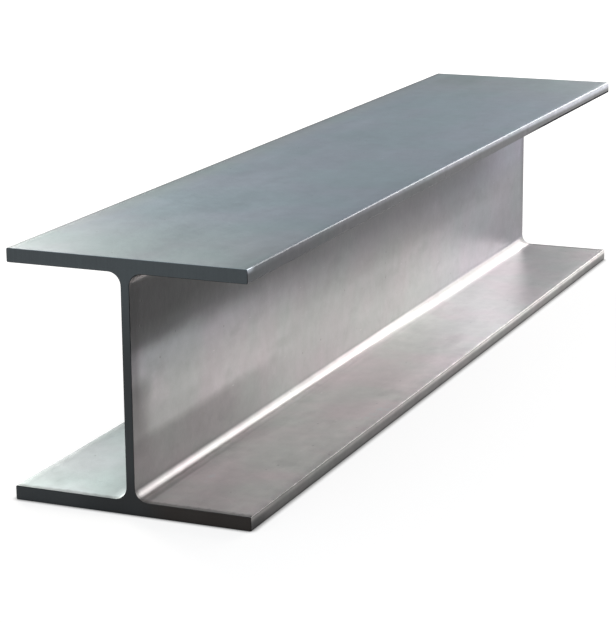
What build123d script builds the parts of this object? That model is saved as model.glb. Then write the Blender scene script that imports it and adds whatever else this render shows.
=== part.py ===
from build123d import *
import os

# Hot-rolled wide-flange steel H-beam, sawn to a short length.
#
# The beam is one rolled piece: two parallel flanges joined by a web. The mill leaves a fillet at each root,
# where web and flange meet, and a small rounding along each flange toe. A saw cuts both ends square, and a
# file breaks the edges of the cuts.
#
# X runs along the beam, Y across the flanges and Z up the web. The origin is in the middle of the underside.

# Driving dimensions, in millimetres
beam_length = 1200.0
section_depth = 250.0
flange_width = 250.0
flange_thickness = 14.0
web_thickness = 9.0
root_radius = 13.0
toe_radius = 1.5
end_edge_break = 0.4

# Places that follow from those sizes
section_middle = section_depth / 2
flange_spacing = section_depth - flange_thickness

with BuildPart() as h_beam:
    # The rolled section. The web reaches to the middle of each flange, so that all three join as one face.
    with BuildSketch(Plane.YZ) as section:
        with Locations((0, section_middle)):
            Rectangle(web_thickness, flange_spacing)
            with GridLocations(0, flange_spacing, 1, 2):
                Rectangle(flange_width, flange_thickness)

        # Across the section the corners stand in four columns: toes, roots, roots, toes
        left_toes, left_roots, right_roots, right_toes = section.vertices().group_by(Axis.X)
        fillet(left_roots + right_roots, radius=root_radius)
        fillet(left_toes + right_toes, radius=toe_radius)

    extrude(amount=beam_length / 2, both=True)

    # The sawn ends are the flat faces square to the length, and each is filed all the way round
    sawn_ends = h_beam.faces().filter_by(Axis.X)
    chamfer(sawn_ends.edges(), length=end_edge_break)

h_beam.part.label = "h_beam"

os.makedirs("parts", exist_ok=True)
export_step(h_beam.part, "parts/h_beam.step")
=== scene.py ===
"""A sawn length of hot-rolled steel H-beam on a studio floor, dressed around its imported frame.

Everything is in metres. X runs along the beam, Y across the flanges and Z up the web, and the origin is in
the middle of the underside.
"""
import logging
import math
from dataclasses import dataclass
from enum import Enum

import bpy
from mathutils import Matrix, Vector


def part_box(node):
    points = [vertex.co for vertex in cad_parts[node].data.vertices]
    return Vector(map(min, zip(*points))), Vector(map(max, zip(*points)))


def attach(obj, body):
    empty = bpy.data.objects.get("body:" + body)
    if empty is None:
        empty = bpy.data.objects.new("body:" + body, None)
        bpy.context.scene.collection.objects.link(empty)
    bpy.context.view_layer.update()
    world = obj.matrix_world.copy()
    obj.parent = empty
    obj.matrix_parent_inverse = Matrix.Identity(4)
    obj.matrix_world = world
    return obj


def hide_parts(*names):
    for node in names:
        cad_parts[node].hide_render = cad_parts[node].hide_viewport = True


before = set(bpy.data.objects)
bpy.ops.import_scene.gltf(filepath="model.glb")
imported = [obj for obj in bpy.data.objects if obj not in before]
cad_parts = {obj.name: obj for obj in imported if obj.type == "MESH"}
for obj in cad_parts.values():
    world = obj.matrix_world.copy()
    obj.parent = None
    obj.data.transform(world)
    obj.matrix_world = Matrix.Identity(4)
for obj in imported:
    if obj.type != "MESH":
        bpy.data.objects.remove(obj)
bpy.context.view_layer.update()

log = logging.getLogger("h_beam")

Socket = bpy.types.NodeSocket
Node = bpy.types.Node
Place = tuple[Socket, Socket, Socket]
Colour = tuple[float, float, float]
Span = tuple[float, float]


class End(Enum):
    """The two sawn ends, by which way along the beam each faces."""

    NEAR = -1.0
    FAR = 1.0


class Wiring:
    """Lays nodes into one tree and joins them up."""

    def __init__(self, tree: bpy.types.NodeTree) -> None:
        """Keeps the tree that the nodes go into."""
        self.tree = tree

    def node(self, kind: str, inputs: dict[str | int, object] | None = None, **settings: object) -> Node:
        """Adds a node.

        Args:
            kind: The node's type name.
            inputs: What each input gets, by name or place: a socket to join it to, or a plain value.
            **settings: Properties of the node, set before its inputs.

        Returns:
            The new node.
        """
        made = self.tree.nodes.new(kind)
        for name, value in settings.items():
            setattr(made, name, value)
        for key, value in (inputs or {}).items():
            self.feed(made.inputs[key], value)
        return made

    def feed(self, socket: Socket, value: object) -> None:
        """Joins a socket to another one, or sets it to a plain value.

        Args:
            socket: The socket to feed.
            value: The other socket, or the value. A colour gets an alpha of 1.
        """
        if isinstance(value, Socket):
            self.tree.links.new(value, socket)
        elif socket.type == "RGBA":
            socket.default_value = (*value, 1.0)
        else:
            socket.default_value = value

    def math(self, operation: str, *values: object) -> Socket:
        """Adds a Math node with those inputs and gives its result."""
        return self.node("ShaderNodeMath", dict(enumerate(values)), operation=operation).outputs[0]

    def vector(self, operation: str, *values: object) -> Socket:
        """Adds a Vector Math node with those inputs and gives its vector."""
        return self.node("ShaderNodeVectorMath", dict(enumerate(values)), operation=operation).outputs[0]

    def scaled(self, vector: object, factor: object) -> Socket:
        """Gives a vector or a colour times a number."""
        return self.node("ShaderNodeVectorMath", {0: vector, "Scale": factor}, operation="SCALE").outputs[0]

    def point(self, x: object, y: object, z: object) -> Socket:
        """Gives a vector made of three numbers."""
        return self.node("ShaderNodeCombineXYZ", {0: x, 1: y, 2: z}).outputs[0]

    def parts(self, vector: Socket) -> Place:
        """Gives the three numbers of a vector."""
        split = self.node("ShaderNodeSeparateXYZ", {0: vector})
        return split.outputs[0], split.outputs[1], split.outputs[2]

    def ramp(self, value: object, start: object, stop: object) -> Socket:
        """Gives a share that goes smoothly from 0 to 1 as a value goes from start to stop."""
        node = self.node("ShaderNodeMapRange", {"Value": value, "From Min": start, "From Max": stop},
                         interpolation_type="SMOOTHSTEP")
        return node.outputs["Result"]

    def between(self, share: object, start: object, stop: object) -> Socket:
        """Gives a number that goes evenly from start to stop as a share goes from 0 to 1."""
        node = self.node("ShaderNodeMapRange", {"Value": share, "To Min": start, "To Max": stop})
        return node.outputs["Result"]

    def product(self, *factors: Socket) -> Socket:
        """Multiplies several numbers.

        Args:
            *factors: The numbers.

        Returns:
            Their product.
        """
        total = factors[0]
        for factor in factors[1:]:
            total = self.math("MULTIPLY", total, factor)
        return total


class GrowthTree(Wiring):
    """A Geometry Nodes tree with named inputs, one for each size."""

    def __init__(self, name: str) -> None:
        """Makes an empty tree with a geometry output.

        Args:
            name: The tree's name.
        """
        super().__init__(bpy.data.node_groups.new(name, "GeometryNodeTree"))
        self.tree.interface.new_socket("Geometry", in_out="OUTPUT", socket_type="NodeSocketGeometry")
        self.sizes = self.node("NodeGroupInput")
        self.result = self.node("NodeGroupOutput")
        self.values: dict[str, float] = {}

    def size(self, name: str, value: float) -> Socket:
        """Adds a named input to the tree.

        Args:
            name: The input's name.
            value: What it is set to. A whole number makes it a count.

        Returns:
            The socket that carries the input inside the tree.
        """
        kind = "NodeSocketInt" if isinstance(value, int) else "NodeSocketFloat"
        socket = self.tree.interface.new_socket(name, in_out="INPUT", socket_type=kind)
        self.values[socket.identifier] = value
        return self.sizes.outputs[name]

    def moved(self, shape: Socket, position: Socket) -> Socket:
        """Gives a shape with its points put at a position."""
        return self.node("GeometryNodeSetPosition", {"Geometry": shape, "Position": position}).outputs[0]

    def compare(self, operation: str, one: object, other: object) -> Socket:
        """Gives whether two numbers compare as asked."""
        node = self.node("FunctionNodeCompare", {0: one, 1: other}, data_type="FLOAT", operation=operation)
        return node.outputs[0]

    def choose(self, test: Socket, otherwise: object, chosen: object, kind: str = "FLOAT") -> Socket:
        """Gives one value where a test holds and another where it doesn't, both of one kind."""
        node = self.node("GeometryNodeSwitch", {0: test, 1: otherwise, 2: chosen}, input_type=kind)
        return node.outputs[0]

    def pick(self, index: Socket, values: list[Socket]) -> Socket:
        """Picks one vector from a list.

        Args:
            index: Which one.
            values: The vectors.

        Returns:
            The vector that stands at that index.
        """
        node = self.node("GeometryNodeIndexSwitch", data_type="VECTOR")
        while len(node.index_switch_items) < len(values):
            node.index_switch_items.new()
        for place, value in enumerate([index, *values]):
            self.feed(node.inputs[place], value)
        return node.outputs[0]

    def grow(self, name: str) -> bpy.types.Object:
        """Runs the tree once and keeps what it makes as a plain mesh object.

        Args:
            name: The object's name.

        Returns:
            The object, with no modifier left on it.
        """
        seed = bpy.data.objects.new(name + "_seed", bpy.data.meshes.new(name + "_seed"))
        bpy.context.scene.collection.objects.link(seed)
        modifier = seed.modifiers.new("growth", "NODES")
        modifier.node_group = self.tree
        for identifier, value in self.values.items():
            modifier[identifier] = value
        evaluated = seed.evaluated_get(bpy.context.evaluated_depsgraph_get())
        mesh = bpy.data.meshes.new_from_object(evaluated)
        bpy.data.objects.remove(seed)
        mesh.name = name
        made = bpy.data.objects.new(name, mesh)
        bpy.context.scene.collection.objects.link(made)
        return made


class MaterialTree(Wiring):
    """A material's nodes around one Principled shader."""

    def __init__(self, name: str) -> None:
        """Makes a material with only its shader and output, and reads the piece's own coordinates.

        Args:
            name: The material's name.
        """
        self.material = bpy.data.materials.new(name)
        self.material.use_nodes = True
        super().__init__(self.material.node_tree)
        self.shader = self.tree.nodes["Principled BSDF"]
        self.place = self.node("ShaderNodeTexCoord").outputs["Object"]

    def surface(self, **inputs: object) -> None:
        """Feeds the shader.

        Args:
            **inputs: What each input gets, by its name in small letters with underscores for its spaces.
        """
        for name, value in inputs.items():
            label = name.replace("_", " ").title().replace("Ior", "IOR")
            self.feed(self.shader.inputs[label], value)

    def drawn_out(self, along: float, across: float) -> Socket:
        """Gives the coordinates times one factor along the beam and another across it."""
        mapping = self.node("ShaderNodeMapping", {"Vector": self.place, "Scale": (along, across, across)})
        return mapping.outputs[0]

    def noise(self, place: Socket, detail: float) -> Socket:
        """Gives soft noise about 0.5, with features of about one unit of its coordinates."""
        inputs = {"Vector": place, "Scale": 1.0, "Detail": detail}
        return self.node("ShaderNodeTexNoise", inputs).outputs[0]

    def varied(self, noise: Socket, amount: float) -> Socket:
        """Gives a factor about 1 that noise moves up and down by an amount."""
        return self.math("MULTIPLY_ADD", noise, 2 * amount, 1 - amount)

    def edging(self, value: Socket, edge: float, span: Span, unit: float = 1.0) -> Socket:
        """Gives a share that goes from 0 to 1 over a span, counted in units inwards from an edge."""
        start, stop = (edge - unit * inwards for inwards in span)
        return self.ramp(value, start, stop)

    def mix(self, share: Socket, one: object, other: object) -> Socket:
        """Mixes two colours.

        Args:
            share: How much of the other colour there is, from 0 to 1.
            one: The colour where the share is 0.
            other: The colour where it is 1.

        Returns:
            The mixed colour.
        """
        # The node keeps its sockets for colours after those for numbers and vectors
        node = self.node("ShaderNodeMix", {0: share}, data_type="RGBA", blend_type="MIX")
        self.feed(node.inputs[6], one)
        self.feed(node.inputs[7], other)
        return node.outputs[2]

    def tinted(self, share: Socket, colour: Socket, tint: Colour) -> Socket:
        """Gives a colour that takes on a tint where a share is 1."""
        return self.mix(share, colour, self.vector("MULTIPLY", colour, tint))

    def bumped(self, *layers: tuple[Socket, float]) -> Socket:
        """Roughens the surface by layers of height.

        Args:
            *layers: The height of each layer, and how deep it is in metres.

        Returns:
            The roughened normal.
        """
        normal = None
        for height, depth in layers:
            inputs = {"Strength": 1.0, "Distance": depth, "Height": height}
            if normal is not None:
                inputs["Normal"] = normal
            normal = self.node("ShaderNodeBump", inputs).outputs[0]
        return normal


@dataclass(frozen=True)
class Patch:
    """A part of the skin that is lighter or darker than the rest, with soft edges.

    Each span holds where the patch begins and where it is complete, and so also which side it comes from.
    """

    tone: float
    along: tuple[Span, ...] = ()
    across: tuple[Span, ...] = ()
    up: tuple[Span, ...] = ()

    def factor(self, made: MaterialTree, place: Place) -> Socket:
        """Gives the patch's tone where it is complete, and 1 outside it.

        Args:
            made: The material's nodes.
            place: The place along the beam, across it and up it.

        Returns:
            A factor for the skin's colour.
        """
        spans = zip(place, (self.along, self.across, self.up))
        shares = [made.ramp(value, *span) for value, edges in spans for span in edges]
        return made.between(made.product(*shares), 1.0, self.tone)


def patched(made: MaterialTree, place: Place, patches: tuple[Patch, ...]) -> Socket:
    """Gives the tones of several patches together, as a factor."""
    return made.product(*(patch.factor(made, place) for patch in patches))


@dataclass(frozen=True)
class Mottle:
    """Soft noise in a finish.

    The first two numbers are how many features lie in a metre, along the beam and across it. The amount is
    how far the noise goes to either side, as a share of a tone or in metres.
    """

    along: float
    across: float
    detail: float
    amount: float = 0.0

    def noise(self, made: MaterialTree) -> Socket:
        """Gives the noise itself, about 0.5."""
        return made.noise(made.drawn_out(self.along, self.across), self.detail)

    def factor(self, made: MaterialTree) -> Socket:
        """Gives a factor about 1."""
        return made.varied(self.noise(made), self.amount)

    def shift(self, made: MaterialTree) -> Socket:
        """Gives a distance about 0."""
        return made.between(self.noise(made), -self.amount, self.amount)


@dataclass(frozen=True)
class Specks:
    """Specks scattered over a finish.

    The first two numbers are how many cells lie in a metre, along the beam and across it. A share of the
    cells has a speck, whose radius is given in cells and its full core as a share of that radius.
    """

    along: float
    across: float
    radius: float
    share: float
    core: float = 1 / 3

    def mask(self, made: MaterialTree) -> Socket:
        """Scatters the specks.

        Args:
            made: The material's nodes.

        Returns:
            A mask that is 1 in the middle of each speck and 0 outside.
        """
        place = made.drawn_out(self.along, self.across)
        cells = made.node("ShaderNodeTexVoronoi", {"Vector": place, "Scale": 1.0})
        inside = made.ramp(cells.outputs["Distance"], self.radius, self.radius * self.core)
        drawn = made.math("LESS_THAN", made.parts(cells.outputs["Color"])[0], self.share)
        return made.product(inside, drawn)


@dataclass(frozen=True)
class SkinSpot:
    """Where a spot of the rolled skin lies, as sockets in one material.

    The height above counts from the underside of the spot's own flange, and upper is 1 on the upper flange
    and 0 on the lower one. The others are 1 in the zone that they are named for and 0 elsewhere.
    """

    along: Socket
    across: Socket
    up: Socket
    above: Socket
    upper: Socket
    outside: Socket
    on_top: Socket
    on_toe: Socket
    low_edge: Socket
    filed: Socket

    @property
    def place(self) -> Place:
        """The place along the beam, across it and up it."""
        return self.along, self.across, self.up


@dataclass(frozen=True)
class ToeTones:
    """How light the toes are at the near end and further along, on the lower flange and on the upper one."""

    lower: Span
    upper: Span

    def factor(self, made: MaterialTree, spot: SkinSpot, further: Socket) -> Socket:
        """Gives the tone at a spot, where further is 0 at the near end and 1 further along."""
        near, far = (made.between(spot.upper, *tones) for tones in zip(self.lower, self.upper))
        return made.between(further, near, far)


@dataclass(frozen=True)
class RolledScale:
    """The thin grey skin that hot rolling leaves, bluer outside, with painted light and shade in its colour.

    A span named for a place or an edge holds where something begins and where it is complete. Tones, shares
    and levels hold two values that the skin goes between.
    """

    length: float
    width: float
    depth: float
    flange: float
    web: float
    root: float
    toe: float
    edge: float

    # Where the zones end, inwards in radii of the toe or the root, or in depths of the filed edge
    outside_edge: Span = (2.0, 1 / 3)
    toe_edge: Span = (0.9, 0.4)
    low_toe_edge: Span = (1.4, 0.5)
    crest_edge: Span = (5 / 3, 1 / 3)
    filed_edge: Span = (1.3, 0.9)
    web_edge: Span = (0.58, 0.84)

    # The colour of each zone, and the tints that shift it
    outer_colour: Colour = (0.300, 0.361, 0.418)
    right_colour: Colour = (0.509, 0.485, 0.492)
    left_colour: Colour = (0.300, 0.344, 0.358)
    web_colour: Colour = (0.222, 0.224, 0.229)
    low_toe_colour: Colour = (0.178, 0.171, 0.170)
    top_toe_colour: Colour = (0.160, 0.172, 0.198)
    warm_tint: Colour = (1.04, 0.985, 0.98)
    green_tint: Colour = (0.975, 1.01, 0.965)
    hues: Mottle = Mottle(11.0, 11.0, 2.0)
    hue_edge: Span = (0.35, 0.65)
    cool_tint: Colour = (0.97, 0.97, 1.08)
    cool_along: Span = (0.10, 0.40)
    high_tint: Colour = (0.97, 0.98, 1.10)
    high_up: Span = (0.105, 0.160)
    high_along: Span = (-0.30, 0.10)
    high_shares: Span = (0.55, 1.0)
    end_tint: Colour = (1.04, 1.0, 0.92)
    end_along: Span = (0.34, 0.58)
    end_across: Span = (0.085, 0.118)

    # Painted shadow of the upper flange: a dark band high on the web, whose lower edge sinks along the beam
    ragged: Mottle = Mottle(8.0, 22.0, 4.0, 0.010)
    band_along: Span = (-0.50, 0.10)
    band_start_levels: Span = (0.144, 0.092)
    band_full_levels: Span = (0.168, 0.175)
    band_end_along: Span = (0.36, 0.56)
    band_shares: Span = (0.72, 0.26)
    web_patches: tuple[Patch, ...] = (
        # Painted shade: the web is darker still in the near corner under the upper flange
        Patch(0.22, along=((0.05, -0.45),), up=((0.154, 0.190),)),
        # Painted shade: past the near third the web is a little darker all the way along, its upper half
        # most
        Patch(0.93, along=((-0.27, -0.17),)),
        Patch(0.88, along=((-0.27, -0.17),), up=((0.098, 0.116),)),
        # Painted light and shade: the near half is a little darker, and its near end brighter halfway up the
        # web and darker low down
        Patch(0.93, along=((0.34, 0.06),)),
        Patch(1.12, along=((-0.12, -0.42),), up=((0.055, 0.075), (0.150, 0.125))),
        Patch(0.56, along=((-0.20, -0.42),), up=((0.077, 0.063),)),
        # Painted light and shade: at the far end the flange's shadow is lighter, and the web below is darker
        Patch(1.16, along=((0.40, 0.56),), up=((0.128, 0.148),)),
        Patch(0.84, along=((0.42, 0.56),), up=((0.122, 0.102), (0.030, 0.050))),
        # Painted shade: softer darker stretches lie low along the near half and under the painted shadow
        # band
        Patch(0.89, along=((-0.40, -0.25), (0.15, 0.02)), up=((0.105, 0.080),)),
        Patch(0.86, along=((-0.40, -0.46),), up=((0.105, 0.085),)),
        Patch(0.86, along=((-0.40, -0.33), (-0.22, -0.26)), up=((0.120, 0.135), (0.172, 0.162))),
        Patch(0.86, along=((0.10, 0.20), (0.45, 0.35)), up=((0.135, 0.150),)),
        # A narrow strip beside the near cut is darker, and both cuts are dark at the very edge
        Patch(0.52, along=((-0.550, -0.580),), up=((0.135, 0.118), (0.045, 0.080))),
        Patch(0.56, along=((-0.576, -0.592),), up=((0.045, 0.120),)),
        Patch(0.64, along=((0.578, 0.594),), up=((0.045, 0.110),)),
        Patch(0.88, along=((-0.540, -0.570),), up=((0.066, 0.054),)),
    )

    # The flanges' inner faces and the roots: dirt along the cuts, and patches of painted light and shade on
    # both sides and on one side
    dirt_line: Mottle = Mottle(160.0, 160.0, 3.0, 0.004)
    dirt_edge: Span = (0.009, 0.003)
    dirt_tone: float = 0.50
    inner_patches: tuple[Patch, ...] = (
        # Painted light: towards the toes the near half is lighter, and the far one isn't
        Patch(1.32, along=((0.32, 0.10),), across=((0.040, 0.125),)),
        Patch(0.96, along=((0.10, 0.32),), across=((0.040, 0.125),)),
        Patch(0.75, along=((0.05, 0.25),), across=((0.119, 0.1225),)),
        Patch(1.15, along=((-0.40, -0.22), (0.12, 0.0)), across=((0.085, 0.105),)),
        # Painted light and shade on the root highlight: the skin is lighter beside the roots and darker in
        # them, most of all at the ends
        Patch(1.28, across=((0.0227, 0.0136),)),
        Patch(1.22, along=((-0.42, -0.20), (0.20, 0.02)), across=((0.026, 0.014),)),
        Patch(0.62, along=((-0.30, -0.55),), across=((0.0200, 0.0140), (0.0064, 0.0082))),
        Patch(0.64, across=((0.0126, 0.0094),)),
        Patch(0.60, along=((0.05, -0.62),), across=((0.0126, 0.0094),)),
        Patch(0.74, along=((0.05, 0.40),), across=((0.0126, 0.0094),)),
        Patch(0.50, along=((-0.50, -0.10),), across=((0.0046, 0.0060), (0.0092, 0.0076))),
        Patch(0.16, along=((0.578, 0.592),), across=((0.0165, 0.0120),)),
        # Painted light: the near half is lighter than the far one, most between the root and the middle of
        # the flange
        Patch(1.09, along=((0.32, 0.10),)),
        Patch(1.12, along=((-0.10, -0.50),)),
        Patch(1.32, along=((-0.32, -0.52),), across=((0.080, 0.035),)),
        Patch(0.88, along=((0.36, 0.56),)),
        # Painted shade: the upper flange's underside is darker
        Patch(0.30, up=((0.124, 0.126),)),
    )
    side_patches: tuple[Patch, ...] = (
        # Painted shade: the left side is darker towards its toes, along their very edges and beside the root
        Patch(0.66, across=((0.055, 0.115),)),
        Patch(0.84, across=((0.109, 0.118),)),
        Patch(0.74, across=((0.085, 0.030), (0.010, 0.020))),
        # Painted light and shade: the right side is a little brighter past the root, and darker at the far
        # end
        Patch(1.12, along=((0.40, 0.18),), across=((-0.0155, -0.0190),)),
        Patch(1.08, along=((-0.50, -0.25), (0.30, 0.12)), across=((-0.0155, -0.0190), (-0.062, -0.042))),
        Patch(0.93, along=((0.50, 0.56),), across=((-0.016, -0.026),)),
    )

    # The flanges' outer faces
    outer_patches: tuple[Patch, ...] = (
        # Painted shade: the left edge is darker, and so are the right edge, the near cut and a stretch at
        # the far left
        Patch(0.87, across=((0.110, 0.121),)),
        Patch(0.38, across=((0.119, 0.1235),)),
        Patch(0.92, across=((-0.095, -0.112),)),
        Patch(0.91, along=((-0.52, -0.58),), across=((0.06, 0.09),)),
        Patch(0.87, along=((0.48, 0.55),), across=((0.03, 0.06), (0.112, 0.096))),
    )

    # The toes: a painted highlight with some wear lightens each towards its upper edge, and painted shade
    # darkens the rest; heights count from the flange's underside
    # Painted shade: the toes are darker towards the near end
    toe_along: Span = (-0.62, 0.45)
    toe_shares: Span = (0.46, 0.96)
    toe_wear: Mottle = Mottle(42.0, 120.0, 4.0, 0.34)
    bright_strip_up: Span = (0.0072, 0.0126)
    bright_strip_drop: float = 0.0022
    bright_strip_drop_along: Span = (0.20, 0.45)
    further_along: Span = (-0.52, 0.20)
    dull_tones: ToeTones = ToeTones(lower=(0.98, 1.25), upper=(0.56, 0.33))
    sheen_and_wear_tones: ToeTones = ToeTones(lower=(2.8, 5.4), upper=(1.05, 2.25))
    crest_tones: ToeTones = ToeTones(lower=(0.34, 0.10), upper=(0.90, 0.28))
    low_edge_tones: ToeTones = ToeTones(lower=(0.55, 0.55), upper=(1.6, 0.8))
    low_toe_patches: tuple[Patch, ...] = (
        # Painted shade: both ends are darker low down
        Patch(0.12, along=((-0.530, -0.590),), up=((0.0135, 0.0050),)),
        Patch(0.60, along=((0.36, 0.56),), up=((0.0135, 0.0050),)),
    )
    top_toe_patches: tuple[Patch, ...] = (
        # A painted glint at the corner by the near cut
        Patch(4.0, along=((-0.582, -0.594),), up=((0.0080, 0.0125),)),
    )

    # Painted shade as dull non-metal along the toes' lower edges, higher up at the far end of the upper toes
    dull_shade_shares: Span = (1.0, 0.92)
    dull_shade_along: Span = (0.15, 0.30)
    dull_shade_up: Span = (0.0046, 0.0024)

    # Noise and marks all over, and how much of the larger noise shows outside
    clouds: Mottle = Mottle(9.0, 26.0, 4.0, 0.13)
    smudges: Mottle = Mottle(14.0, 30.0, 3.0)
    smudge_edge: Span = (0.56, 0.70)
    smudge_tone: float = 0.90
    outside_share: float = 0.4
    streaks: Mottle = Mottle(3.0, 110.0, 3.0, 0.04)
    blotches: Mottle = Mottle(62.0, 62.0, 4.0, 0.13)
    grain: Mottle = Mottle(420.0, 420.0, 2.0, 0.06)
    pits: Specks = Specks(55.0, 55.0, 0.09, 0.35)
    pit_tone: float = 0.62
    scuffs: Specks = Specks(45.0, 230.0, 0.16, 0.03)
    scuff_gain: float = 0.28
    # A painted highlight along the top's filed edge, and darkened filed edges elsewhere
    filed_tones: Span = (0.30, 1.6)

    # Gloss, and how deep the bumps are
    roughness: float = 0.36
    satin: Mottle = Mottle(140.0, 140.0, 3.0, 0.10)
    specular: float = 0.5
    bumps: Mottle = Mottle(130.0, 130.0, 3.0)
    bump_depth: float = 0.00010
    grain_depth: float = 0.00004
    mark_depth: float = 0.00010

    def spot(self, made: MaterialTree) -> SkinSpot:
        """Works out where a spot of the skin lies.

        Args:
            made: The material's nodes.

        Returns:
            The spot's place and its zones.
        """
        along, across, up = made.parts(made.place)
        from_middle = made.math("ABSOLUTE", made.math("SUBTRACT", up, self.depth / 2))
        upper = made.math("GREATER_THAN", up, self.depth / 2)
        above = made.math("SUBTRACT", up, made.math("MULTIPLY", upper, self.depth - self.flange))
        outside = made.edging(from_middle, self.depth / 2, self.outside_edge, self.toe)
        return SkinSpot(
            along=along,
            across=across,
            up=up,
            above=above,
            upper=upper,
            outside=outside,
            on_top=made.product(outside, upper),
            on_toe=made.edging(made.math("ABSOLUTE", across), self.width / 2, self.toe_edge, self.toe),
            low_edge=made.edging(above, 0.0, self.low_toe_edge, -self.toe),
            filed=made.edging(made.math("ABSOLUTE", along), self.length / 2, self.filed_edge, self.edge),
        )

    def web_tone(self, made: MaterialTree, spot: SkinSpot) -> Socket:
        """Gives how much darker or lighter the web is painted, with the upper flange's shadow as a band high
        on it.

        Args:
            made: The material's nodes.
            spot: Where the spot lies.

        Returns:
            A factor that is 1 outside the painted shadow and its patches.
        """
        ragged = self.ragged.shift(made)
        height = made.math("ADD", spot.up, ragged)
        further = made.ramp(spot.along, *self.band_along)
        start = made.between(further, *self.band_start_levels)
        full = made.between(further, *self.band_full_levels)
        share = made.between(made.ramp(spot.along, *self.band_end_along), *self.band_shares)
        # Painted shadow of the upper flange, weaker towards the far end
        flange_shadow = made.product(made.ramp(height, start, full), share)
        ragged_place = (made.math("SUBTRACT", spot.along, ragged), spot.across, height)
        return made.product(made.math("SUBTRACT", 1.0, flange_shadow), patched(made, ragged_place, self.web_patches))

    def inner_tone(self, made: MaterialTree, spot: SkinSpot) -> Socket:
        """Gives how light the skin is inside the flanges and in the roots, with dirt along the cuts and
        painted light and shade.

        Args:
            made: The material's nodes.
            spot: Where the spot lies.

        Returns:
            A factor about 1.
        """
        either_side = (spot.along, made.math("ABSOLUTE", spot.across), spot.up)
        from_middle = made.math("ADD", made.math("ABSOLUTE", spot.along), self.dirt_line.shift(made))
        dirty = made.between(made.edging(from_middle, self.length / 2, self.dirt_edge), 1.0, self.dirt_tone)
        return made.product(patched(made, either_side, self.inner_patches),
                            patched(made, spot.place, self.side_patches), dirty)

    def toe_tone(self, made: MaterialTree, spot: SkinSpot) -> Socket:
        """Gives how light the toes are, with a painted highlight towards the upper edge and painted shade.

        Args:
            made: The material's nodes.
            spot: Where the spot lies.

        Returns:
            A factor about 1.
        """
        # Painted shade: the toes are darker towards the near end
        whole = made.between(made.ramp(spot.along, *self.toe_along), *self.toe_shares)
        further = made.ramp(spot.along, *self.further_along)

        # The painted highlight with some wear reaches lower at the far end of the upper toes
        far_top = made.product(spot.upper, made.ramp(spot.along, *self.bright_strip_drop_along))
        height = made.math("ADD", spot.above, made.between(far_top, 0.0, self.bright_strip_drop))
        worn = made.between(made.ramp(height, *self.bright_strip_up), self.dull_tones.factor(made, spot, further),
                            self.sheen_and_wear_tones.factor(made, spot, further))

        # Painted shade: the upper edge's rounding catches the most light, so its colour is darkened there,
        # and more so further along
        on_crest = made.edging(spot.above, self.flange, self.crest_edge, self.toe)
        crest = made.between(on_crest, 1.0, self.crest_tones.factor(made, spot, further))
        # Painted shade along the lower edge, and painted light there at the near end of the upper toes
        far_end = made.ramp(spot.along, *self.dull_shade_along)
        low_edge_tone = made.between(spot.low_edge, 1.0, self.low_edge_tones.factor(made, spot, far_end))
        on_flange = (spot.along, spot.across, spot.above)
        ends = made.between(spot.upper, patched(made, on_flange, self.low_toe_patches),
                            patched(made, on_flange, self.top_toe_patches))
        return made.product(whole, worn, self.toe_wear.factor(made), crest, low_edge_tone, ends)

    def colour(self, made: MaterialTree, spot: SkinSpot) -> Socket:
        """Gives the colour of the skin before its small marks.

        Args:
            made: The material's nodes.
            spot: Where the spot lies.

        Returns:
            The web and the flanges' inner faces, with the outer faces and the toes over them.
        """
        from_middle = made.math("ABSOLUTE", made.math("SUBTRACT", spot.up, self.depth / 2))
        on_web = made.edging(from_middle, self.depth / 2 - self.flange, self.web_edge, self.root)
        web = made.scaled(self.web_colour, self.web_tone(made, spot))
        web = made.tinted(made.ramp(spot.along, *self.cool_along), web, self.cool_tint)
        high_share = made.between(made.ramp(spot.along, *self.high_along), *self.high_shares)
        web = made.tinted(made.product(made.ramp(spot.up, *self.high_up), high_share), web, self.high_tint)

        on_left = made.ramp(spot.across, -self.web / 2, self.web / 2)
        inner = made.mix(on_left, self.right_colour, self.left_colour)
        inner = made.scaled(inner, self.inner_tone(made, spot))

        outer = made.scaled(self.outer_colour, patched(made, spot.place, self.outer_patches))
        at_ends = made.ramp(made.math("ABSOLUTE", spot.along), *self.end_along)
        at_left = made.ramp(spot.across, *self.end_across)
        outer = made.tinted(made.math("MAXIMUM", at_ends, at_left), outer, self.end_tint)

        toe = made.mix(spot.upper, self.low_toe_colour, self.top_toe_colour)
        toe = made.scaled(toe, self.toe_tone(made, spot))
        rolled = made.mix(on_web, inner, web)
        rolled = made.mix(spot.outside, rolled, outer)
        return made.mix(spot.on_toe, rolled, toe)

    def painted_dull_shade(self, made: MaterialTree, spot: SkinSpot) -> Socket:
        """Gives where painted shade, as dull non-metal, hides the metal: low on the toes, and on the filed
        edges below the top.

        Args:
            made: The material's nodes.
            spot: Where the spot lies.

        Returns:
            A share that is 1 where no metal shows.
        """
        filed = made.product(spot.filed, made.math("SUBTRACT", 1.0, spot.on_top))
        low_toe = made.product(spot.on_toe, spot.low_edge, made.between(spot.upper, *self.dull_shade_shares))
        far_top_toe = made.product(spot.on_toe, spot.upper, made.ramp(spot.along, *self.dull_shade_along),
                                   made.ramp(spot.above, *self.dull_shade_up))
        return made.math("MAXIMUM", made.math("MAXIMUM", low_toe, filed), far_top_toe)

    def material(self) -> bpy.types.Material:
        """Builds the finish.

        Returns:
            The finish as a material.
        """
        made = MaterialTree("rolled_scale")
        spot = self.spot(made)

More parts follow.
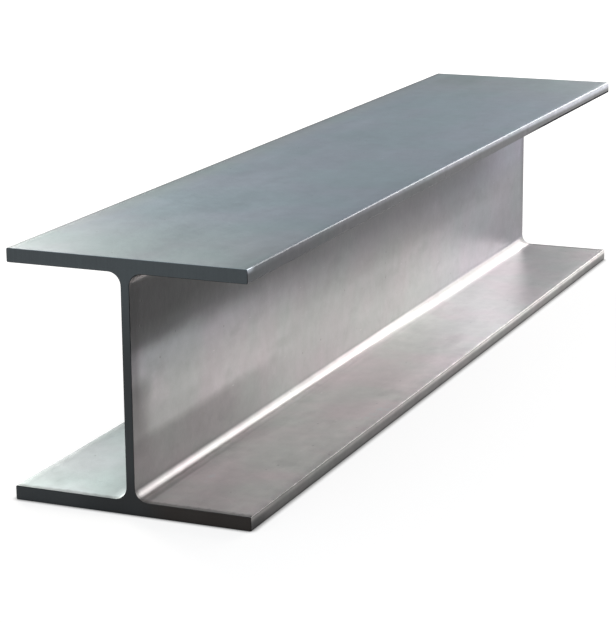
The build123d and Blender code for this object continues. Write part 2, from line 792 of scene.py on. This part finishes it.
        # Clouds and smudges, weaker outside, then rolling streaks, grain, blotches and a shifting hue
        clouds = self.clouds.factor(made)
        smudged = made.ramp(self.smudges.noise(made), *self.smudge_edge)
        mottled = made.product(clouds, made.between(smudged, 1.0, self.smudge_tone))
        weaker = made.math("MULTIPLY_ADD", mottled, self.outside_share, 1 - self.outside_share)
        mottled = made.between(spot.outside, mottled, weaker)
        grain = self.grain.factor(made)
        tone = made.product(mottled, self.streaks.factor(made), grain, self.blotches.factor(made))
        greener = made.ramp(self.hues.noise(made), *self.hue_edge)
        hue = made.mix(greener, self.warm_tint, self.green_tint)
        colour = made.vector("MULTIPLY", made.scaled(self.colour(made, spot), tone), hue)

        # Dark pits, light scuffs drawn out along the beam, and the filed edges of the cuts, with a painted
        # highlight along the top's filed edge and the others darkened
        pits = self.pits.mask(made)
        scuffs = self.scuffs.mask(made)
        scuffed = made.math("MULTIPLY", scuffs, self.scuff_gain)
        marks = made.math("ADD", made.between(pits, 1.0, self.pit_tone), scuffed)
        edges = made.between(spot.filed, 1.0, made.between(spot.on_top, *self.filed_tones))

        # Painted shade: the metal is hidden where the dull shade lies
        bare_metal = made.math("SUBTRACT", 1.0, self.painted_dull_shade(made, spot))
        satin = made.product(clouds, self.satin.factor(made))
        made.surface(
            base_color=made.scaled(colour, made.product(marks, edges)),
            metallic=bare_metal,
            specular_ior_level=made.math("MULTIPLY", bare_metal, self.specular),
            roughness=made.math("MULTIPLY", satin, self.roughness),
            normal=made.bumped((self.bumps.noise(made), self.bump_depth), (grain, self.grain_depth),
                               (made.math("SUBTRACT", scuffs, pits), self.mark_depth)),
        )
        return made.material


@dataclass(frozen=True)
class SawnSteel:
    """The dark, dull face that the saw leaves on each end: painted shade makes it lighter at the top and
    darker towards the bottom, and low down it is darker still, and brown on one side.

    Each span holds where a colour begins and where it is complete.
    """

    high_colour: Colour = (0.1070, 0.1248, 0.1329)
    low_colour: Colour = (0.0452, 0.0513, 0.0545)
    dark_colour: Colour = (0.0212, 0.0242, 0.0262)
    brown_colour: Colour = (0.0252, 0.0194, 0.0160)
    high_up: Span = (0.13, 0.24)
    low_up: Span = (0.05, 0.012)
    dark_across: Span = (0.085, 0.02)
    brown_across: Span = (0.0, -0.05)
    blade_scale: tuple[float, float, float] = (1.0, 700.0, 9.0)
    blade_turn_deg: float = 12.0
    blade_detail: float = 3.0
    blade_amount: float = 0.12
    blade_depth: float = 0.00008
    clouds: Mottle = Mottle(35.0, 35.0, 4.0, 0.22)
    grain: Mottle = Mottle(500.0, 500.0, 2.0, 0.08)
    grain_depth: float = 0.00004
    metallic: float = 0.3
    roughness: Span = (0.5, 0.7)

    def material(self) -> bpy.types.Material:
        """Builds the finish.

        Returns:
            The finish as a material.
        """
        made = MaterialTree("sawn_steel")
        _, across, up = made.parts(made.place)
        # Painted light and shade: lighter at the top and darker towards the bottom; low down darker still,
        # and brown on one side
        colour = made.mix(made.ramp(up, *self.high_up), self.low_colour, self.high_colour)
        low = made.ramp(up, *self.low_up)
        dark = made.product(low, made.ramp(across, *self.dark_across))
        browner = made.product(low, made.ramp(across, *self.brown_across))
        colour = made.mix(browner, made.mix(dark, colour, self.dark_colour), self.brown_colour)

        # The blade's fine marks run upright, in a pattern that is turned a little
        turn = (math.radians(self.blade_turn_deg), 0.0, 0.0)
        blade = made.node("ShaderNodeMapping",
                          {"Vector": made.place, "Rotation": turn, "Scale": self.blade_scale})
        marks = made.noise(blade.outputs[0], self.blade_detail)
        clouds = self.clouds.noise(made)
        grain = self.grain.noise(made)
        tone = made.product(made.varied(clouds, self.clouds.amount), made.varied(marks, self.blade_amount),
                            made.varied(grain, self.grain.amount))
        made.surface(
            base_color=made.scaled(colour, tone),
            metallic=self.metallic,
            roughness=made.between(clouds, *self.roughness),
            normal=made.bumped((marks, self.blade_depth), (grain, self.grain_depth)),
        )
        return made.material


@dataclass(frozen=True)
class SectionOutline:
    """The section's outline as sockets: its closed curve, how many points that has, and what each one holds.

    A point holds its position, the way outwards from the steel, and where the filed edge puts it.
    """

    curve: Socket
    count: Socket
    position: Socket
    outward: Socket
    filed: Socket


@dataclass
class RolledBeam:
    """The beam: one rolled section, sawn square at both ends."""

    node: str = "h_beam"
    flange_thickness: float = 0.014
    web_thickness: float = 0.009
    root_radius: float = 0.013
    toe_radius: float = 0.0015
    edge_break: float = 0.0004
    root_steps: int = 9
    toe_steps: int = 6
    face_spacing: float = 0.008
    station_spacing: float = 0.005
    wave_depth: float = 0.0002
    wave_scale: float = 7.0
    nick_depth: float = 0.0004
    nick_scale: float = 80.0
    nick_edge: Span = (0.56, 0.72)
    relief_detail: float = 2.0
    plain_end: Span = (0.020, 0.070)
    flat_underside: Span = (-0.123, -0.118)
    merge_distance: float = 0.00001
    crease_deg: float = 30.0
    sawn_facing: float = 0.9
    seed: int = 7

    def __post_init__(self) -> None:
        """Takes the overall sizes from the frame."""
        low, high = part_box(self.node)
        self.length, self.width, self.depth = high - low

    def outline(self, tree: GrowthTree, edge: Socket) -> SectionOutline:
        """Draws the section's outline flat, with its roots and toes rounded and its long sides divided.

        Args:
            tree: The tree that the nodes go into.
            edge: How far the filed edge steps in.

        Returns:
            The closed outline.
        """
        depth = tree.size("Depth", self.depth)
        width = tree.size("Flange Width", self.width)
        flange = tree.size("Flange Thickness", self.flange_thickness)
        web = tree.size("Web Thickness", self.web_thickness)
        root = tree.size("Root Radius", self.root_radius)
        toe = tree.size("Toe Radius", self.toe_radius)
        spacing = tree.size("Face Spacing", self.face_spacing)

        # One quarter of the outline runs from the toe's outer corner to the root, and the others mirror it
        half_width = tree.math("MULTIPLY", width, 0.5)
        half_web = tree.math("MULTIPLY", web, 0.5)
        half_depth = tree.math("MULTIPLY", depth, 0.5)
        inner = tree.math("SUBTRACT", half_depth, flange)
        quarter = [(half_width, half_depth), (half_width, inner), (half_web, inner)]
        corners = []
        for side, level in ((1, 1), (1, -1), (-1, -1), (-1, 1)):
            for corner in quarter if side == level else quarter[::-1]:
                across, up = (tree.math("MULTIPLY", size, way) for size, way in zip(corner, (side, level)))
                corners.append(tree.point(across, up, 0.0))

        index = tree.node("GeometryNodeInputIndex").outputs[0]
        position = tree.node("GeometryNodeInputPosition").outputs[0]
        ring = tree.node("GeometryNodeCurvePrimitiveCircle", {"Resolution": len(corners)}, mode="RADIUS")
        sharp = tree.moved(ring.outputs["Curve"], tree.pick(index, corners))
        at_root = tree.compare("LESS_THAN", tree.math("ABSOLUTE", tree.parts(position)[0]), web)
        rounded = tree.node("GeometryNodeFilletCurve", {
            "Curve": sharp,
            "Radius": tree.choose(at_root, toe, root),
            "Count": tree.choose(at_root, float(self.toe_steps), float(self.root_steps)),
        }, mode="POLY")

        # Each straight run is cut into equal steps no longer than the spacing
        following = tree.node("GeometryNodeOffsetPointInCurve", {"Point Index": index, "Offset": 1})
        there = tree.node("GeometryNodeFieldAtIndex",
                          {"Index": following.outputs["Point Index"], "Value": position},
                          data_type="FLOAT_VECTOR", domain="POINT")
        run = tree.node("ShaderNodeVectorMath", {0: position, 1: there.outputs[0]}, operation="DISTANCE")
        cuts = tree.math("FLOOR", tree.math("DIVIDE", run.outputs["Value"], spacing))
        divided = tree.node("GeometryNodeSubdivideCurve", {"Curve": rounded.outputs["Curve"], "Cuts": cuts})
        curve = divided.outputs[0]
        domain = tree.node("GeometryNodeAttributeDomainSize", {"Geometry": curve}, component="CURVE")

        # The filed edge steps in square to the outline
        tangent = tree.node("GeometryNodeInputTangent").outputs[0]
        outward = tree.vector("CROSS_PRODUCT", tree.point(0.0, 0.0, 1.0), tangent)
        filed = tree.vector("ADD", position, tree.scaled(outward, tree.math("MULTIPLY", edge, -1.0)))
        return SectionOutline(curve, domain.outputs["Point Count"], position, outward, filed)

    def relief(self, tree: GrowthTree, along: Socket, across: Socket, up: Socket) -> Socket:
        """Works out how far the rolled skin lies in from its true shape, in metres.

        Args:
            tree: The tree that the nodes go into.
            along: The place along the beam.
            across: The place across the flanges.
            up: The height above the middle of the web.

        Returns:
            The depth of the rolls' slow waves and of the nicks along the toes, 0 at the ends and underneath.
        """
        wave_depth = tree.size("Wave Depth", self.wave_depth)
        nick_depth = tree.size("Nick Depth", self.nick_depth)
        seed = tree.size("Seed", self.seed)
        place = tree.point(along, across, up)

        def noise(scale: float) -> Socket:
            """Gives seeded noise with features of one metre over the scale."""
            inputs = {"Vector": place, "W": seed, "Scale": scale, "Detail": self.relief_detail}
            return tree.node("ShaderNodeTexNoise", inputs, noise_dimensions="4D").outputs[0]

        from_end = tree.math("SUBTRACT", self.length / 2, tree.math("ABSOLUTE", along))
        inward = tree.product(tree.ramp(from_end, *self.plain_end), tree.ramp(up, *self.flat_underside))
        toe_start = self.width / 2 - self.toe_radius
        near_toe = tree.ramp(tree.math("ABSOLUTE", across), toe_start - self.toe_radius, toe_start)
        waves = tree.math("MULTIPLY", noise(self.wave_scale), wave_depth)
        nicks = tree.product(tree.ramp(noise(self.nick_scale), *self.nick_edge), near_toe, nick_depth)
        return tree.math("MULTIPLY", inward, tree.math("ADD", waves, nicks))

    def rolled_skin(self, tree: GrowthTree, outline: SectionOutline, half: Socket, edge: Socket) -> Socket:
        """Runs the outline along the beam, filed at both ends and worn between them.

        Args:
            tree: The tree that the nodes go into.
            outline: The section's outline.
            half: Half the beam's length.
            edge: How far the filed edge steps in.

        Returns:
            The skin's mesh, open at its ends.
        """
        # A sheet of points has a row for each station along the beam and a column for each outline point
        stations = tree.size("Stations", round(self.length / self.station_spacing))
        columns = tree.math("ADD", outline.count, 1.0)
        sheet = tree.node("GeometryNodeMeshGrid", {"Vertices X": stations, "Vertices Y": columns})
        index = tree.node("GeometryNodeInputIndex").outputs[0]
        row = tree.math("FLOOR", tree.math("DIVIDE", tree.math("ADD", index, 0.5), columns))
        in_row = tree.math("SUBTRACT", index, tree.math("MULTIPLY", row, columns))
        column = tree.math("FLOORED_MODULO", in_row, outline.count)

        # The first and last rows lie on the cuts, and the others are spread evenly between the filed edges
        last = tree.math("SUBTRACT", stations, 1.0)
        from_end = tree.math("MINIMUM", row, tree.math("SUBTRACT", last, row))
        at_end = tree.compare("LESS_THAN", from_end, 0.5)
        past_first = tree.math("SUBTRACT", row, 1.0)
        share = tree.math("DIVIDE", past_first, tree.math("SUBTRACT", last, 2.0))
        straight = tree.math("SUBTRACT", half, edge)
        middle = tree.math("MULTIPLY", straight, tree.math("MULTIPLY_ADD", share, 2.0, -1.0))
        along = tree.choose(at_end, middle, tree.math("MULTIPLY", tree.math("SIGN", past_first), half))

        def sampled(value: Socket) -> Socket:
            """Gives a value of the outline at a point's own column."""
            return tree.node("GeometryNodeSampleIndex",
                             {"Geometry": outline.curve, "Value": value, "Index": column},
                             data_type="FLOAT_VECTOR", domain="POINT").outputs[0]

        place = tree.choose(at_end, sampled(outline.position), sampled(outline.filed), "VECTOR")
        across, up, _ = tree.parts(place)
        inward = tree.math("MULTIPLY", self.relief(tree, along, across, up), -1.0)
        worn = tree.vector("ADD", place, tree.scaled(sampled(outline.outward), inward))
        across, up, _ = tree.parts(worn)
        raised = tree.math("ADD", up, self.depth / 2)
        return tree.moved(sheet.outputs["Mesh"], tree.point(along, across, raised))

    def sawn_ends(self, tree: GrowthTree, outline: SectionOutline, half: Socket) -> list[Socket]:
        """Fills the filed outline and stands it up at both ends.

        Args:
            tree: The tree that the nodes go into.
            outline: The section's outline.
            half: Half the beam's length.

        Returns:
            The two faces, each facing away from the beam.
        """
        rim = tree.moved(outline.curve, outline.filed)
        filled = tree.node("GeometryNodeFillCurve", {"Curve": rim}, mode="NGONS").outputs[0]
        across, up, _ = tree.parts(outline.position)
        raised = tree.math("ADD", up, self.depth / 2)
        faces = []
        for end in End:
            face = tree.moved(filled, tree.point(tree.math("MULTIPLY", half, end.value), across, raised))
            if end is End.NEAR:
                face = tree.node("GeometryNodeFlipFaces", {0: face}).outputs[0]
            faces.append(face)
        return faces

    def growth(self, skin: bpy.types.Material, cut: bpy.types.Material) -> GrowthTree:
        """Builds the tree that grows the beam and dresses it.

        Args:
            skin: The rolled finish.
            cut: The sawn finish.

        Returns:
            The finished tree.
        """
        tree = GrowthTree("rolled_beam")
        half = tree.math("MULTIPLY", tree.size("Length", self.length), 0.5)
        edge = tree.size("Edge Break", self.edge_break)
        outline = self.outline(tree, edge)
        join = tree.node("GeometryNodeJoinGeometry")
        for shape in (*self.sawn_ends(tree, outline, half), self.rolled_skin(tree, outline, half, edge)):
            tree.feed(join.inputs[0], shape)
        whole = tree.node("GeometryNodeMergeByDistance",
                          {"Geometry": join.outputs[0], "Distance": self.merge_distance})

        # Only the edges of the cuts are crisp
        bend = tree.node("GeometryNodeInputMeshEdgeAngle").outputs["Unsigned Angle"]
        crisp = tree.compare("GREATER_THAN", bend, math.radians(self.crease_deg))
        smooth = tree.node("GeometryNodeSetShadeSmooth",
                           {"Geometry": whole.outputs[0], "Shade Smooth": True}, domain="FACE")
        creased = tree.node("GeometryNodeSetShadeSmooth",
                            {"Geometry": smooth.outputs[0], "Selection": crisp, "Shade Smooth": False},
                            domain="EDGE")

        # The faces square to the length are sawn, and the rest is rolled
        real = tree.node("GeometryNodeRealizeInstances", {"Geometry": creased.outputs[0]})
        rolled = tree.node("GeometryNodeSetMaterial", {"Geometry": real.outputs[0], "Material": skin})
        facing = tree.parts(tree.node("GeometryNodeInputNormal").outputs[0])[0]
        square = tree.compare("GREATER_THAN", tree.math("ABSOLUTE", facing), self.sawn_facing)
        sawn = tree.node("GeometryNodeSetMaterial",
                         {"Geometry": rolled.outputs[0], "Selection": square, "Material": cut})
        tree.feed(tree.result.inputs[0], sawn.outputs[0])
        return tree

    def build(self) -> bpy.types.Object:
        """Grows the beam, dresses it and hands it to the frame in place of its plain solid.

        Returns:
            The beam's object.
        """
        skin = RolledScale(length=self.length, width=self.width, depth=self.depth,
                           flange=self.flange_thickness, web=self.web_thickness, root=self.root_radius,
                           toe=self.toe_radius, edge=self.edge_break)
        tree = self.growth(skin.material(), SawnSteel().material())
        beam = tree.grow("rolled_h_beam")
        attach(beam, "root")
        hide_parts(self.node)
        return beam


@dataclass(frozen=True)
class Softbox:
    """A large soft lamp that faces the beam and that the camera doesn't see."""

    name: str
    turn_deg: float
    rise_deg: float
    distance: float
    width: float
    height: float
    radiance: float
    tint: Colour

    def build(self) -> bpy.types.Object:
        """Hangs the lamp on its ray from the middle of the beam's underside.

        Returns:
            The lamp's object.
        """
        turn, rise = math.radians(self.turn_deg), math.radians(self.rise_deg)
        outward = Vector((math.cos(rise) * math.cos(turn), math.cos(rise) * math.sin(turn), math.sin(rise)))
        data = bpy.data.lights.new(self.name, "AREA")
        data.shape = "RECTANGLE"
        data.size = self.width
        data.size_y = self.height
        data.color = self.tint
        # A lamp's power spreads over its area, and a quarter of it counts as what each spot sends out
        data.energy = 4 * self.width * self.height * self.radiance
        lamp = bpy.data.objects.new(self.name, data)
        lamp.location = outward * self.distance
        lamp.rotation_euler = outward.to_track_quat("Z", "Y").to_euler()
        lamp.visible_camera = False
        bpy.context.scene.collection.objects.link(lamp)
        return lamp


@dataclass(frozen=True)
class StudioPaper:
    """The white paper of the floor, which shows as white wherever no shadow falls on it."""

    paper: Colour = (0.415, 0.400, 0.388)
    glow: Colour = (0.80, 0.80, 0.80)
    roughness: float = 0.9
    contact_reach: float = 0.006
    contact_power: float = 2.0
    contact_samples: int = 8

    def material(self) -> bpy.types.Material:
        """Builds the finish.

        Returns:
            The finish as a material.
        """
        made = MaterialTree("studio_paper")
        path = made.node("ShaderNodeLightPath").outputs
        seen = made.math("MAXIMUM", path["Is Camera Ray"], path["Is Glossy Ray"])
        seen = made.math("MAXIMUM", seen, path["Is Transmission Ray"])

        # A painted contact shadow: close to what stands on it, ambient occlusion dims the paper's glow, so
        # it is darker there
        open_air = made.node("ShaderNodeAmbientOcclusion", {"Distance": self.contact_reach},
                             samples=self.contact_samples).outputs["AO"]
        shown = made.math("POWER", open_air, self.contact_power)
        made.surface(
            base_color=self.paper,
            roughness=self.roughness,
            specular_ior_level=0.0,
            emission_color=self.glow,
            emission_strength=made.product(seen, shown),
        )
        return made.material


@dataclass
class Studio:
    """A white floor, a soft world and large soft lamps."""

    floor_reach: float = 14.0
    sky: Colour = (0.415, 0.442, 0.468)
    lamps: tuple[Softbox, ...] = (
        Softbox("right_softbox", turn_deg=-11.0, rise_deg=15.5, distance=5.0, width=3.3, height=2.7,
                radiance=4.8, tint=(1.0, 0.985, 0.97)),
        Softbox("left_softbox", turn_deg=49.6, rise_deg=27.0, distance=5.0, width=2.1, height=3.6,
                radiance=4.4, tint=(1.0, 0.975, 0.91)),
    )

    def floor(self) -> bpy.types.Object:
        """Lays the floor.

        Returns:
            The floor's object.
        """
        mesh = bpy.data.meshes.new("studio_floor")
        reach = self.floor_reach
        corners = [(-reach, -reach, 0), (reach, -reach, 0), (reach, reach, 0), (-reach, reach, 0)]
        mesh.from_pydata(corners, [], [(0, 1, 2, 3)])
        mesh.materials.append(StudioPaper().material())
        floor = bpy.data.objects.new("studio_floor", mesh)
        bpy.context.scene.collection.objects.link(floor)
        return floor

    def world(self) -> None:
        """Sets the soft light that comes from all round."""
        world = bpy.data.worlds.new("studio_world")
        world.use_nodes = True
        world.node_tree.nodes["Background"].inputs["Color"].default_value = (*self.sky, 1.0)
        bpy.context.scene.world = world

    def build(self) -> bpy.types.Object:
        """Sets up everything that lights the beam.

        Returns:
            The floor's object.
        """
        floor = self.floor()
        self.world()
        for lamp in self.lamps:
            lamp.build()
        return floor


@dataclass(frozen=True)
class PhotoCamera:
    """The camera at the photograph's viewing angle."""

    eye: tuple[float, float, float] = (-2.38942, -0.94729, 0.71451)
    turn_deg: float = 23.0994
    tilt_deg: float = 14.3602
    roll_deg: float = -0.4724
    focal_pixels: float = 2246.79
    image_height: int = 623
    sensor: float = 36.0

    def build(self) -> bpy.types.Object:
        """Places the camera and makes it the scene's own.

        Returns:
            The camera's object.
        """
        turn, tilt, roll = (math.radians(a) for a in (self.turn_deg, self.tilt_deg, self.roll_deg))
        ahead = Vector((math.cos(tilt) * math.cos(turn), math.cos(tilt) * math.sin(turn), -math.sin(tilt)))
        level = Vector((math.sin(turn), -math.cos(turn), 0))
        upright = level.cross(ahead)
        right = level * math.cos(roll) + upright * math.sin(roll)
        up = upright * math.cos(roll) - level * math.sin(roll)
        data = bpy.data.cameras.new("photo_camera")
        data.sensor_width = self.sensor
        data.lens = self.sensor * self.focal_pixels / self.image_height
        camera = bpy.data.objects.new("photo_camera", data)
        bpy.context.scene.collection.objects.link(camera)
        turned = Matrix((right, up, -ahead)).transposed().to_4x4()
        camera.matrix_world = Matrix.Translation(self.eye) @ turned
        bpy.context.scene.camera = camera
        return camera


def main() -> None:
    """Builds the camera, the beam and the studio, and logs how many faces the beam and the floor have."""
    logging.basicConfig(level=logging.INFO, format="%(name)s: %(message)s")
    bpy.context.scene.view_settings.view_transform = "Standard"
    PhotoCamera().build()
    for piece in (RolledBeam().build(), Studio().build()):
        log.info("%s has %d faces", piece.name, len(piece.data.polygons))


if __name__ == "__main__":
    main()
